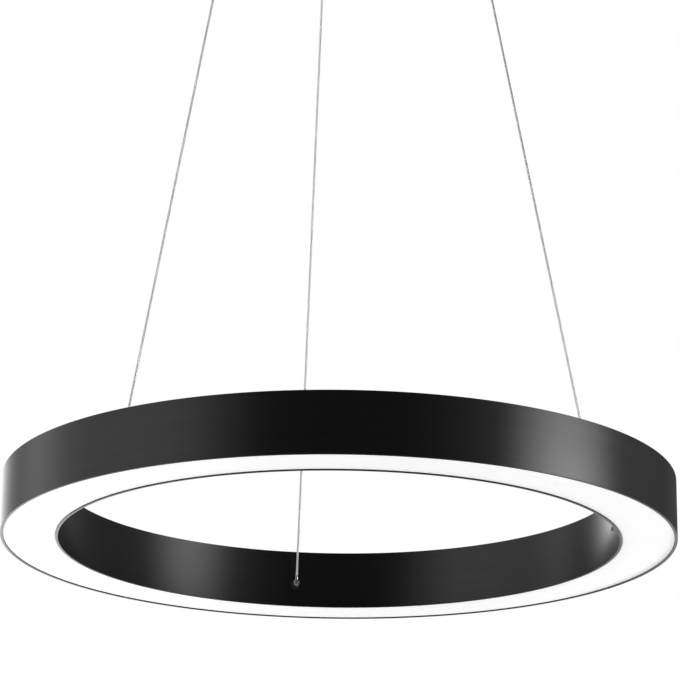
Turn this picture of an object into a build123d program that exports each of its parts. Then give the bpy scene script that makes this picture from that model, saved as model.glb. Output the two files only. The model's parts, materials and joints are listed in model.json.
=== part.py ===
"""Ring pendant light: a lit ring that hangs on three wires from a round ceiling canopy.

The ceiling is the plane z = 0, the lamp's axis is Z, and all sizes are in millimetres and degrees.
"""

import os
from math import cos, radians, sin, sqrt, tan

from build123d import *

os.makedirs("parts", exist_ok=True)

# Clearances
fit_gap = 0.2  # between pieces that seat or slide in each other
thread_gap = 0.1  # round a screw, stud or spigot in its hole
curve_gap = 0.05  # between a flat face and a curved wall
hole_gap = 0.2  # round a screw that passes freely

# Ring channel, bent aluminium, open downwards
ring_outer_r = 350.0
ring_width = 59.5  # across the channel
ring_height = 62.5
ring_wall = 3.0
ring_drop = 960.0  # from the ceiling to the ring's lower edge

# Diffuser
diffuser_recess = 1.0
diffuser_thickness = 2.0
leg_thickness = 1.2
notch_gap = 2.0  # round the anchors' nuts

# LED tray, boards and chips
tray_height = 18.5  # from the ring's lower edge to the tray's upper face
tray_thickness = 1.5
tab_width = 16.0
tab_thickness = 2.0
tab_inset = 0.5  # of the tab from the tray's inner edge
tab_margin = 5.0  # of the tab above its screw
board_count = 18
board_margin = 6.0  # from the diffuser's legs
board_joint = 1.0
board_thickness = 1.2
chips_per_board = 5
chip_side = 5.0
chip_thickness = 1.2

# Tray screws, through the inner wall
tray_screw_azimuths = (8.1, 188.1)
tray_screw_height = 30.4
tray_screw_r = 1.5
tray_screw_head_r = 2.5
tray_screw_head = 1.6
tray_screw_tip = 1.5  # past the tab

# Wire anchors, on the inner wall
anchor_azimuths = (99.7, 217.2, 338.4)
anchor_height = 24.0
anchor_standoff = 11.0  # from the inner wall to the middle of the bulb
bulb_r = 4.2
bulb_shoulder = 35.0  # angle on the bulb where its neck begins
neck_r = 2.0
neck_waist = 0.9  # how far the neck is drawn in between bulb and tip
neck_length = 9.0
bore_start = 3.0  # from the middle of the bulb to the bottom of the wire's bore
stalk_r = 3.0
stud_r = 2.0
stud_tip = 1.5  # past the nut
bush_r = 4.4
bush_spigot_r = 3.0
bush_thickness = 1.0
anchor_nut_flats = 7.0
anchor_nut_thickness = 3.2

# Hanging wires
wire_r = 1.25
wire_gap = 0.2
wire_seat = 0.3  # of the wire's end above the bottom of its bore
tail_length = 10.0  # of wire above the gripper's neck

# Canopy, a spun cup, open upwards
canopy_r = 135.0
canopy_height = 42.0
canopy_wall = 1.5
canopy_chamfer = 3.0
rim_gap = 1.0  # below the ceiling

# Wire grippers, through the canopy's floor
gripper_edge = 21.5  # from the canopy's side to the gripper's axis
barrel_r = 6.5
barrel_length = 26.0
barrel_chamfer = 0.8
gripper_neck_r = 5.0
gripper_neck_tip = 1.5  # past the nut
gripper_nut_flats = 14.0
gripper_nut_thickness = 5.0
bush_flange_r = 9.0
bush_flange = 1.5
bush_wall = 1.2  # of the spigot that lines the hole in the floor
roof_thickness = 2.5  # between the spring's chamber and the shoulder
nose_length = 6.0  # of the plunger below the barrel
nose_wall = 1.75
nose_chamfer = 0.5
mouth_length = 2.5
mouth_flare = 1.0
grip_gap = 0.15  # between wire and plunger
guide_length = 6.0  # of the nose inside the barrel
cone_length = 6.0
cone_angle = 12.0
head_rim = 1.5  # of the plunger's head above its cone
slit_width = 0.8
slit_length = 10.0
spring_wire = 1.0

# Ceiling bracket, sheet steel
bracket_thickness = 2.0
bar_width = 36.0
wing_corner_r = 6.0
lug_length = 24.0
lug_gap = 0.3
slot_spacing = 80.0
slot_length = 30.0
slot_width = 5.2
cable_notch_r = 7.0
cable_notch_depth = 14.0
wing_margin = 1.0  # of the wing round the driver
earth_inset = 57.0  # from a lug to the earth screw

# Canopy side screws
side_screw_r = 2.0
side_screw_height = 14.0  # below the ceiling
side_screw_head_r = 4.5
side_screw_head = 4.0
side_screw_tip = 1.0

# LED driver, under the bracket's wing
driver_length = 150.0
driver_width = 42.0
driver_depth = 24.0
driver_wall = 2.0
driver_corner_r = 4.0
driver_side_gap = 2.0  # from the bar to the driver
lid_thickness = 1.6
ledge_height = 3.0
ledge_width = 4.0
circuit_thickness = 1.6
circuit_gap = 1.0
transformer_size = (28.0, 24.0, 13.0)

# Fixing screws of the driver
ear_length = 12.0
ear_width = 16.0
ear_thickness = 2.0
driver_screw_r = 1.5
driver_screw_head_r = 2.75
driver_screw_head = 2.0
driver_screw_tip = 0.2  # short of the ceiling

# Mains terminal block, clipped into the bracket
block_inset = 46.0  # from a lug to the block's middle
block_size = (36.0, 18.0, 14.0)
foot_size = (5.0, 9.0)
foot_spacing = 22.0
foot_tip = 0.2  # short of the ceiling
pole_count = 3
pole_spacing = 11.0
pole_size = (6.0, 6.0)
pole_depth = 6.0

# Earth screw
earth_screw_r = 2.0
earth_head_r = 4.0
earth_head = 3.0

# Derived places
ring_inner_r = ring_outer_r - ring_width
ring_z = -ring_drop
ring_top_z = ring_z + ring_height
channel_in = ring_inner_r + ring_wall
channel_out = ring_outer_r - ring_wall
web_z = ring_top_z - ring_wall
tray_z = ring_z + tray_height
board_z = tray_z - tray_thickness
tray_screw_z = ring_z + tray_screw_height
anchor_r = ring_inner_r - anchor_standoff
anchor_z = ring_z + anchor_height
bush_face_r = ring_inner_r - curve_gap - bush_thickness
anchor_nut_r = channel_in + curve_gap
notch_width = 2 * (anchor_nut_flats / sqrt(3) + notch_gap)
stud_end_r = anchor_nut_r + anchor_nut_thickness + stud_tip
plate_in = channel_in + fit_gap
plate_out = channel_out - fit_gap
plate_z = ring_z + diffuser_recess
plate_top_z = plate_z + diffuser_thickness
leg_top_z = tray_screw_z + tab_margin
tray_in = plate_in + leg_thickness + fit_gap
tab_r = tray_in + tab_inset
board_in = tray_in + board_margin
board_width = plate_out - leg_thickness - board_margin - board_in
board_length = 2 * board_in * tan(radians(180 / board_count)) - board_joint

floor_z = -rim_gap - canopy_height
floor_top_z = floor_z + canopy_wall
canopy_inner_r = canopy_r - canopy_wall
gripper_r = canopy_r - gripper_edge
shoulder_z = floor_z - bush_flange
barrel_z = shoulder_z - barrel_length
chamber_top_z = shoulder_z - roof_thickness
neck_top_z = floor_top_z + gripper_nut_thickness + gripper_neck_tip
nose_z = barrel_z - nose_length
wire_top_z = nose_z + mouth_length
spigot_r = gripper_neck_r + thread_gap + bush_wall

plunger_hole_r = wire_r + grip_gap
nose_r = plunger_hole_r + nose_wall
head_r = nose_r + cone_length * tan(radians(cone_angle))
nose_bore_r = nose_r + fit_gap
chamber_r = head_r + fit_gap
spring_r = head_r - fit_gap
cone_low_z = barrel_z + guide_length
cone_high_z = cone_low_z + cone_length
head_top_z = cone_high_z + head_rim

gear_z = -bracket_thickness
lug_x = sqrt(canopy_inner_r**2 - (bar_width / 2) ** 2) - lug_gap
block_x = lug_x - block_inset
earth_x = earth_inset - lug_x
driver_y = bar_width / 2 + driver_side_gap + driver_width / 2
driver_end_x = driver_length / 2 + ear_length
driver_ear_x = driver_length / 2 + ear_length / 2
driver_screw_places = ((-driver_ear_x, driver_y), (driver_ear_x, driver_y))
foot_places = ((block_x - foot_spacing / 2, 0), (block_x + foot_spacing / 2, 0))
circuit_z = gear_z - driver_wall - ledge_height
lid_z = gear_z - driver_depth


def polar(radius, azimuth, z):
    """Point at a radius and an azimuth about the lamp's axis."""
    return Vector(radius * cos(radians(azimuth)), radius * sin(radians(azimuth)), z)


def radial_plane(radius, azimuth, z):
    """Plane across a radius, with its normal pointing away from the lamp's axis."""
    return Plane(origin=polar(radius, azimuth, z), x_dir=(0, 0, 1), z_dir=polar(1, azimuth, 0))


def upright_plane(azimuth):
    """Upright plane through a gripper's axis, with the height as its second coordinate."""
    return Plane(origin=polar(gripper_r, azimuth, 0), x_dir=(1, 0, 0), z_dir=(0, -1, 0))


def gripper_axis(azimuth):
    """Upright axis of one gripper."""
    return Axis(polar(gripper_r, azimuth, 0), (0, 0, 1))


def wire_direction(azimuth):
    """Unit vector up one hanging wire, from its anchor to its gripper."""
    return (polar(gripper_r, azimuth, wire_top_z) - polar(anchor_r, azimuth, anchor_z)).normalized()


# Ring channel: two walls and a web
with BuildPart() as ring_profile:
    with BuildSketch(Plane.XZ):
        with BuildLine():
            Polyline(
                (ring_inner_r, ring_z),
                (channel_in, ring_z),
                (channel_in, web_z),
                (channel_out, web_z),
                (channel_out, ring_z),
                (ring_outer_r, ring_z),
                (ring_outer_r, ring_top_z),
                (ring_inner_r, ring_top_z),
                close=True,
            )
        make_face()
    revolve(axis=Axis.Z)
    for azimuth in anchor_azimuths:
        with BuildSketch(radial_plane(anchor_r, azimuth, anchor_z)):
            Circle(bush_spigot_r + thread_gap)
        extrude(amount=anchor_standoff + 2 * ring_wall, mode=Mode.SUBTRACT)
    for azimuth in tray_screw_azimuths:
        with BuildSketch(radial_plane(ring_inner_r - ring_wall, azimuth, tray_screw_z)):
            Circle(tray_screw_r + hole_gap)
        extrude(amount=3 * ring_wall, mode=Mode.SUBTRACT)
ring_profile.part.label = "ring_profile"
export_step(ring_profile.part, "parts/ring_profile.step")

# Diffuser: a flat opal ring with an outer leg under the tray and an inner leg that the tray screws hold
with BuildPart() as diffuser:
    with BuildSketch(Plane.XZ):
        with BuildLine():
            Polyline(
                (plate_in, plate_z),
                (plate_out, plate_z),
                (plate_out, board_z),
                (plate_out - leg_thickness, board_z),
                (plate_out - leg_thickness, plate_top_z),
                (plate_in + leg_thickness, plate_top_z),
                (plate_in + leg_thickness, leg_top_z),
                (plate_in, leg_top_z),
                close=True,
            )
        make_face()
    revolve(axis=Axis.Z)
    for azimuth in anchor_azimuths:
        with BuildSketch(radial_plane(anchor_r, azimuth, anchor_z - notch_width / 2)):
            Rectangle(ring_height, notch_width, align=(Align.MIN, Align.CENTER))
        extrude(amount=tray_in - anchor_r, mode=Mode.SUBTRACT)
    for azimuth in tray_screw_azimuths:
        with BuildSketch(radial_plane(ring_inner_r, azimuth, tray_screw_z)):
            Circle(tray_screw_r + hole_gap)
        extrude(amount=tray_in - ring_inner_r, mode=Mode.SUBTRACT)
diffuser.part.label = "diffuser"
export_step(diffuser.part, "parts/diffuser.step")

# LED tray: a flat ring on the diffuser's outer leg, with two upright tabs for its screws
with BuildPart() as led_tray:
    with BuildSketch(Plane.XY.offset(tray_z)):
        Circle(plate_out)
        Circle(tray_in, mode=Mode.SUBTRACT)
    extrude(amount=-tray_thickness)
    for azimuth in tray_screw_azimuths:
        with BuildSketch(radial_plane(tab_r, azimuth, board_z)):
            Rectangle(leg_top_z - board_z, tab_width, align=(Align.MIN, Align.CENTER))
        extrude(amount=tab_thickness)
        with BuildSketch(radial_plane(tab_r, azimuth, tray_screw_z)):
            Circle(tray_screw_r + thread_gap)
        extrude(amount=tab_thickness, mode=Mode.SUBTRACT)
led_tray.part.label = "led_tray"
export_step(led_tray.part, "parts/led_tray.step")

# Tray screws: pan heads on the inner wall, shanks through wall and diffuser leg into the tabs
with BuildPart() as tray_screws:
    for azimuth in tray_screw_azimuths:
        with BuildSketch(radial_plane(ring_inner_r - curve_gap, azimuth, tray_screw_z)):
            Circle(tray_screw_head_r)
        extrude(amount=-tray_screw_head)
        with BuildSketch(radial_plane(ring_inner_r - curve_gap, azimuth, tray_screw_z)):
            Circle(tray_screw_r)
        extrude(amount=tab_r + tab_thickness + tray_screw_tip - ring_inner_r + curve_gap)
tray_screws.part.label = "tray_screws"
export_step(tray_screws.part, "parts/tray_screws.step")

# LED boards: straight strips round the tray's underside
with BuildPart() as led_boards:
    with BuildSketch(Plane.XY.offset(board_z)):
        with PolarLocations(board_in + board_width / 2, board_count):
            Rectangle(board_width, board_length)
    extrude(amount=-board_thickness)
led_boards.part.label = "led_boards"
export_step(led_boards.part, "parts/led_boards.step")

# LED chips, a row under each board
with BuildPart() as led_chips:
    with BuildSketch(Plane.XY.offset(board_z - board_thickness)):
        with PolarLocations(board_in + board_width / 2, board_count):
            with GridLocations(board_width, board_length / chips_per_board, 1, chips_per_board):
                Rectangle(chip_side, chip_side)
    extrude(amount=-chip_thickness)
led_chips.part.label = "led_chips"
export_step(led_chips.part, "parts/led_chips.step")

# Wire anchors: a teardrop bulb along the wire, on a stalk with a threaded stud through the wall
with BuildPart() as wire_anchors:
    for azimuth in anchor_azimuths:
        middle = polar(anchor_r, azimuth, anchor_z)
        along = wire_direction(azimuth)
        across = polar(1, azimuth + 90, 0)
        with BuildSketch(Plane(origin=middle, x_dir=across, z_dir=across.cross(along))):
            with BuildLine():
                bulb = CenterArc((0, 0), bulb_r, -90, 90 + bulb_shoulder)
                tip = Vector(neck_r, neck_length)
                waist = ((bulb @ 1) + tip) / 2 - Vector(neck_waist, 0)
                neck = ThreePointArc(bulb @ 1, waist, tip)
                Polyline(tip, (0, neck_length), bulb @ 0)
            make_face()
        revolve(axis=Axis(middle, along))
        with BuildSketch(radial_plane(anchor_r, azimuth, anchor_z)):
            Circle(stalk_r)
        extrude(amount=bush_face_r - anchor_r)
        with BuildSketch(radial_plane(bush_face_r, azimuth, anchor_z)):
            Circle(stud_r)
        extrude(amount=stud_end_r - bush_face_r)
        with BuildSketch(Plane(origin=middle + along * bore_start, x_dir=across, z_dir=along)):
            Circle(wire_r + wire_gap)
        extrude(amount=neck_length, mode=Mode.SUBTRACT)
wire_anchors.part.label = "wire_anchors"
export_step(wire_anchors.part, "parts/wire_anchors.step")

# Anchor bushes: insulating, shouldered, from inside the ring's hole
with BuildPart() as anchor_bushes:
    for azimuth in anchor_azimuths:
        with BuildSketch(radial_plane(bush_face_r, azimuth, anchor_z)):
            Circle(bush_r)
            Circle(stud_r + thread_gap, mode=Mode.SUBTRACT)
        extrude(amount=bush_thickness)
        with BuildSketch(radial_plane(bush_face_r + bush_thickness, azimuth, anchor_z)):
            Circle(bush_spigot_r)
            Circle(stud_r + thread_gap, mode=Mode.SUBTRACT)
        extrude(amount=ring_wall)
anchor_bushes.part.label = "anchor_bushes"
export_step(anchor_bushes.part, "parts/anchor_bushes.step")

# Anchor nuts, insulating, inside the channel
with BuildPart() as anchor_nuts:
    for azimuth in anchor_azimuths:
        with BuildSketch(radial_plane(anchor_nut_r, azimuth, anchor_z)):
            RegularPolygon(anchor_nut_flats / 2, 6, major_radius=False)
            Circle(stud_r + thread_gap, mode=Mode.SUBTRACT)
        extrude(amount=anchor_nut_thickness)
anchor_nuts.part.label = "anchor_nuts"
export_step(anchor_nuts.part, "parts/anchor_nuts.step")

# Hanging wires: straight runs from the bore of each anchor to the mouth of its gripper
for number, azimuth in enumerate(anchor_azimuths, 1):
    foot = polar(anchor_r, azimuth, anchor_z) + wire_direction(azimuth) * (bore_start + wire_seat)
    head = polar(gripper_r, azimuth, wire_top_z)
    with BuildPart() as wire:
        with BuildSketch(Plane(origin=foot)):
            Circle(wire_r)
        extrude(amount=(head - foot).length, dir=head - foot)
    wire.part.label = f"wire_{number}"
    export_step(wire.part, f"parts/wire_{number}.step")

# Wire tails: the stretch of each wire inside its gripper
with BuildPart() as wire_tails:
    for azimuth in anchor_azimuths:
        with BuildSketch(Plane(origin=polar(gripper_r, azimuth, wire_top_z))):
            Circle(wire_r)
        extrude(amount=neck_top_z + tail_length - wire_top_z)
wire_tails.part.label = "wire_tails"
export_step(wire_tails.part, "parts/wire_tails.step")

# Gripper bodies: a barrel with the spring's chamber over the cone that closes the plunger on the wire
with BuildPart() as gripper_bodies:
    for azimuth in anchor_azimuths:
        with BuildSketch(upright_plane(azimuth)):
            with BuildLine():
                Polyline(
                    (plunger_hole_r, neck_top_z),
                    (gripper_neck_r, neck_top_z),
                    (gripper_neck_r, shoulder_z),
                    (barrel_r, shoulder_z),
                    (barrel_r, barrel_z + barrel_chamfer),
                    (barrel_r - barrel_chamfer, barrel_z),
                    (nose_bore_r, barrel_z),
                    (nose_bore_r, cone_low_z),
                    (chamber_r, cone_high_z),
                    (chamber_r, chamber_top_z),
                    (plunger_hole_r, chamber_top_z),
                    close=True,
                )
            make_face()
        revolve(axis=gripper_axis(azimuth))
gripper_bodies.part.label = "gripper_bodies"
export_step(gripper_bodies.part, "parts/gripper_bodies.step")

# Gripper plungers: a nose to push, and a conical head slit into four jaws round the wire
for number, azimuth in enumerate(anchor_azimuths, 1):
    with BuildPart() as plunger:
        with BuildSketch(upright_plane(azimuth)):
            with BuildLine():
                Polyline(
                    (plunger_hole_r, head_top_z),
                    (head_r, head_top_z),
                    (head_r, cone_high_z),
                    (nose_r, cone_low_z),
                    (nose_r, nose_z + nose_chamfer),
                    (nose_r - nose_chamfer, nose_z),
                    (plunger_hole_r + mouth_flare, nose_z),
                    (plunger_hole_r, wire_top_z),
                    close=True,
                )
            make_face()
        revolve(axis=gripper_axis(azimuth))
        with BuildSketch(Plane(origin=polar(gripper_r, azimuth, head_top_z))):
            Rectangle(slit_width, 2 * barrel_r)
            Rectangle(2 * barrel_r, slit_width)
        extrude(amount=-slit_length, mode=Mode.SUBTRACT)
    plunger.part.label = f"plunger_{number}"
    export_step(plunger.part, f"parts/plunger_{number}.step")

# Gripper springs: the sleeve that the coil fills, between the plunger's head and the chamber's roof
for number, azimuth in enumerate(anchor_azimuths, 1):
    with BuildPart() as spring:
        with BuildSketch(Plane(origin=polar(gripper_r, azimuth, head_top_z))):
            Circle(spring_r)
            Circle(spring_r - spring_wire, mode=Mode.SUBTRACT)
        extrude(amount=chamber_top_z - head_top_z)
    spring.part.label = f"gripper_spring_{number}"
    export_step(spring.part, f"parts/gripper_spring_{number}.step")

# Gripper bushes: insulating, shouldered, from below the canopy's floor
with BuildPart() as gripper_bushes:
    for azimuth in anchor_azimuths:
        with BuildSketch(Plane(origin=polar(gripper_r, azimuth, shoulder_z))):
            Circle(bush_flange_r)
            Circle(gripper_neck_r + thread_gap, mode=Mode.SUBTRACT)
        extrude(amount=bush_flange)
        with BuildSketch(Plane(origin=polar(gripper_r, azimuth, floor_z))):
            Circle(spigot_r)
            Circle(gripper_neck_r + thread_gap, mode=Mode.SUBTRACT)
        extrude(amount=canopy_wall - thread_gap)
gripper_bushes.part.label = "gripper_bushes"
export_step(gripper_bushes.part, "parts/gripper_bushes.step")

# Gripper nuts, insulating, on the canopy's floor
with BuildPart() as gripper_nuts:
    for azimuth in anchor_azimuths:
        with BuildSketch(Plane(origin=polar(gripper_r, azimuth, floor_top_z))):
            RegularPolygon(gripper_nut_flats / 2, 6, major_radius=False)
            Circle(gripper_neck_r + thread_gap, mode=Mode.SUBTRACT)
        extrude(amount=gripper_nut_thickness)
gripper_nuts.part.label = "gripper_nuts"
export_step(gripper_nuts.part, "parts/gripper_nuts.step")

# Canopy cover: a spun cup with a bevelled lower edge, three gripper holes and two side holes
with BuildPart() as canopy_cover:
    with BuildSketch(Plane.XY.offset(floor_z)):
        Circle(canopy_r)
    extrude(amount=canopy_height)
    chamfer(canopy_cover.faces().sort_by(Axis.Z)[0].edges(), canopy_chamfer)
    offset(amount=-canopy_wall, openings=canopy_cover.faces().sort_by(Axis.Z)[-1])
    with BuildSketch(Plane.XY.offset(floor_z)):
        with Locations(*[polar(gripper_r, azimuth, 0) for azimuth in anchor_azimuths]):
            Circle(spigot_r + thread_gap)
    extrude(amount=canopy_wall, mode=Mode.SUBTRACT)
    for azimuth in (0, 180):
        with BuildSketch(radial_plane(canopy_r - 2 * canopy_wall, azimuth, -side_screw_height)):
            Circle(side_screw_r + hole_gap)
        extrude(amount=3 * canopy_wall, mode=Mode.SUBTRACT)
canopy_cover.part.label = "canopy_cover"
export_step(canopy_cover.part, "parts/canopy_cover.step")

# Ceiling bracket: a bar with a wing for the driver and a bent-down lug at each end
wing_length = 2 * (driver_end_x + wing_margin)
wing_width = bar_width / 2 + driver_side_gap + driver_width + wing_margin
with BuildPart() as ceiling_bracket:
    with BuildSketch(Plane.XY):
        Rectangle(2 * lug_x, bar_width)
        Rectangle(wing_length, wing_width, align=(Align.CENTER, Align.MIN))
    extrude(amount=-bracket_thickness)
    fillet(ceiling_bracket.edges().filter_by(Axis.Z).group_by(Axis.Y)[-1], wing_corner_r)
    for azimuth in (0, 180):
        with BuildSketch(radial_plane(lug_x, azimuth, 0)):
            Rectangle(lug_length, bar_width, align=(Align.MAX, Align.CENTER))
        extrude(amount=-bracket_thickness)
        with BuildSketch(radial_plane(lug_x, azimuth, -side_screw_height)):
            Circle(side_screw_r + thread_gap)
        extrude(amount=-bracket_thickness, mode=Mode.SUBTRACT)
    with BuildSketch(Plane.XY):
        with Locations((-slot_spacing / 2, 0), (slot_spacing / 2, 0)):
            SlotOverall(slot_length, slot_width)
        with Locations((0, -bar_width / 2)):
            Rectangle(2 * cable_notch_r, 2 * (cable_notch_depth - cable_notch_r))
        with Locations((0, cable_notch_depth - cable_notch_r - bar_width / 2)):
            Circle(cable_notch_r)
        with Locations(*driver_screw_places):
            Circle(driver_screw_r + thread_gap)
        with Locations(*foot_places):
            Rectangle(foot_size[0] + 2 * fit_gap, foot_size[1] + 2 * fit_gap)
        with Locations((earth_x, 0)):
            Circle(earth_screw_r + thread_gap)
    extrude(amount=-bracket_thickness, mode=Mode.SUBTRACT)
ceiling_bracket.part.label = "ceiling_bracket"
export_step(ceiling_bracket.part, "parts/ceiling_bracket.step")

# Canopy screws: knurled heads outside the cover, shanks into the bracket's lugs
side_shank_r = canopy_r + curve_gap
with BuildPart() as canopy_screws:
    for azimuth in (0, 180):
        with BuildSketch(radial_plane(side_shank_r, azimuth, -side_screw_height)):
            Circle(side_screw_head_r)
        extrude(amount=side_screw_head)
        with BuildSketch(radial_plane(side_shank_r, azimuth, -side_screw_height)):
            Circle(side_screw_r)
        extrude(amount=lug_x - bracket_thickness - side_screw_tip - side_shank_r)
canopy_screws.part.label = "canopy_screws"
export_step(canopy_screws.part, "parts/canopy_screws.step")

# Driver case: a moulded tray, open downwards, with an ear at each end and two ledges for its board
with BuildPart() as driver_case:
    with BuildSketch(Plane.XY.offset(gear_z)):
        with Locations((0, driver_y)):
            RectangleRounded(driver_length, driver_width, driver_corner_r)
    extrude(amount=-driver_depth)
    with BuildSketch(Plane.XY.offset(gear_z)):
        with Locations((0, driver_y)):
            Rectangle(2 * driver_end_x, ear_width)
    extrude(amount=-ear_thickness)
    with BuildSketch(Plane.XY.offset(lid_z)):
        with Locations((0, driver_y)):
            Rectangle(driver_length - 2 * driver_wall, driver_width - 2 * driver_wall)
    extrude(amount=driver_depth - driver_wall, mode=Mode.SUBTRACT)
    with BuildSketch(Plane.XY.offset(circuit_z)):
        with Locations((0, driver_y)):
            with GridLocations(driver_length - 2 * driver_wall - ledge_width, driver_width, 2, 1):
                Rectangle(ledge_width, driver_width - 2 * driver_wall)
    extrude(amount=ledge_height)
    with BuildSketch(Plane.XY.offset(gear_z)):
        with Locations(*driver_screw_places):
            Circle(driver_screw_r + hole_gap)
    extrude(amount=-ear_thickness, mode=Mode.SUBTRACT)
driver_case.part.label = "driver_case"
export_step(driver_case.part, "parts/driver_case.step")

# Driver lid
with BuildPart() as driver_lid:
    with BuildSketch(Plane.XY.offset(lid_z)):
        with Locations((0, driver_y)):
            RectangleRounded(driver_length, driver_width, driver_corner_r)
    extrude(amount=-lid_thickness)
driver_lid.part.label = "driver_lid"
export_step(driver_lid.part, "parts/driver_lid.step")

# Driver board, under the case's ledges
circuit_margin = 2 * (driver_wall + circuit_gap)
with BuildPart() as driver_board:
    with BuildSketch(Plane.XY.offset(circuit_z)):
        with Locations((0, driver_y)):
            Rectangle(driver_length - circuit_margin, driver_width - circuit_margin)
    extrude(amount=-circuit_thickness)
driver_board.part.label = "driver_board"
export_step(driver_board.part, "parts/driver_board.step")

# Driver transformer, under the board
with BuildPart() as driver_transformer:
    with BuildSketch(Plane.XY.offset(circuit_z - circuit_thickness)):
        with Locations((0, driver_y)):
            Rectangle(transformer_size[0], transformer_size[1])
    extrude(amount=-transformer_size[2])
driver_transformer.part.label = "driver_transformer"
export_step(driver_transformer.part, "parts/driver_transformer.step")

# Terminal block: a row of push-in entries on each side, and two feet in the bracket's holes
with BuildPart() as terminal_block:
    with BuildSketch(Plane.XY.offset(gear_z)):
        with Locations((block_x, 0)):
            Rectangle(block_size[0], block_size[1])
    extrude(amount=-block_size[2])
    with BuildSketch(Plane.XY.offset(gear_z)):
        with Locations(*foot_places):
            Rectangle(*foot_size)
    extrude(amount=bracket_thickness - foot_tip)
    for side in (Plane.XZ.offset(block_size[1] / 2), Plane.XZ.offset(pole_depth - block_size[1] / 2)):
        with BuildSketch(side):
            with Locations((block_x, gear_z - block_size[2] / 2)):
                with GridLocations(pole_spacing, pole_spacing, pole_count, 1):
                    Rectangle(*pole_size)
        extrude(amount=-pole_depth, mode=Mode.SUBTRACT)
terminal_block.part.label = "terminal_block"
export_step(terminal_block.part, "parts/terminal_block.step")

# Driver screws: up through the ears of the case into the bracket
with BuildPart() as driver_screws:
    with BuildSketch(Plane.XY.offset(gear_z - ear_thickness)):
        with Locations(*driver_screw_places):
            Circle(driver_screw_head_r)
    extrude(amount=-driver_screw_head)
    with BuildSketch(Plane.XY.offset(gear_z - ear_thickness)):
        with Locations(*driver_screw_places):
            Circle(driver_screw_r)
    extrude(amount=ear_thickness + bracket_thickness - driver_screw_tip)
driver_screws.part.label = "driver_screws"
export_step(driver_screws.part, "parts/driver_screws.step")

# Earth screw, up into the bracket's bar
with BuildPart() as earth_screw:
    with BuildSketch(Plane.XY.offset(gear_z)):
        with Locations((earth_x, 0)):
            RegularPolygon(earth_head_r, 6)
    extrude(amount=-earth_head)
    with BuildSketch(Plane.XY.offset(gear_z)):
        with Locations((earth_x, 0)):
            Circle(earth_screw_r)
    extrude(amount=bracket_thickness - driver_screw_tip)
earth_screw.part.label = "earth_screw"
export_step(earth_screw.part, "parts/earth_screw.step")
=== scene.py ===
"""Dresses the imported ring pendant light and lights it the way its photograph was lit.

Every length is in metres and every angle in degrees unless a name says otherwise. The ceiling is z = 0.
"""

import json
import logging
import math
from dataclasses import dataclass
from enum import Enum
from functools import cache

import bmesh
import bpy
import numpy as np
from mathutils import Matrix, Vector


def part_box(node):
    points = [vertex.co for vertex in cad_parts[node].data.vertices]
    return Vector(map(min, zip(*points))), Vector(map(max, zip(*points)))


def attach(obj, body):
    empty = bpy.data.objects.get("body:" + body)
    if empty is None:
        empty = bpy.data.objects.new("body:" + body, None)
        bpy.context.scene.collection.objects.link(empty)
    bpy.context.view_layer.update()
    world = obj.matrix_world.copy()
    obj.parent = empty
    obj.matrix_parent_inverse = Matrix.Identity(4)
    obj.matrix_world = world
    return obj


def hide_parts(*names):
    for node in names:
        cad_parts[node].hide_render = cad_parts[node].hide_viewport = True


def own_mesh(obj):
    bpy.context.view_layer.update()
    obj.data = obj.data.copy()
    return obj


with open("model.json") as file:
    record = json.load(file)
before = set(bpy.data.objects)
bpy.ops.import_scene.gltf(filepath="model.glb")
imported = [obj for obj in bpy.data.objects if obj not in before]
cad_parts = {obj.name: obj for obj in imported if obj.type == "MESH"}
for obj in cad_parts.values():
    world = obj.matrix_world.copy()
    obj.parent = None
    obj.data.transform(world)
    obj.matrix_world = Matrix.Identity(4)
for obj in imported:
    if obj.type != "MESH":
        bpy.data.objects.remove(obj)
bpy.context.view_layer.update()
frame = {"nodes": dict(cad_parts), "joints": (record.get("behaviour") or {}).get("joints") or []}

Array = np.ndarray
Span = tuple[float, float]
Triple = tuple[float, float, float]
Colour = Triple
Material = bpy.types.Material
Node = bpy.types.Node
Piece = bpy.types.Object
Socket = bpy.types.NodeSocket

MM = 0.001
DEGREES = math.degrees(1.0)  # in one radian
UP = np.array([0.0, 0.0, 1.0])
ORIGIN = np.zeros(3)
WHITE = (1.0, 1.0, 1.0)
MIX_LOW, MIX_HIGH, MIX_RESULT = 6, 7, 2  # colour sockets of a Mix node
WELD = 1e-7  # distance at which points become one
SLIVER = 1e-8  # length of an edge that is dropped
NEAR_X = 0.9  # share of X from which an axis takes Y as its helper
HOLD = 1.6  # distance from a corner to the point that holds its face flat, against the rounding
IMAGE_SIDE = 680  # pixels
log = logging.getLogger("pendant")


class Body(Enum):
    """Bodies that pieces of several nodes ride on. A plunger's body has its node's name."""

    CANOPY = "canopy"
    RING = "ring"


class Closed(Enum):
    """Directions in which a grid of points joins its own far side."""

    NONE = (False, False)
    AROUND = (False, True)
    BOTH = (True, True)


# Shader maths


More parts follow.
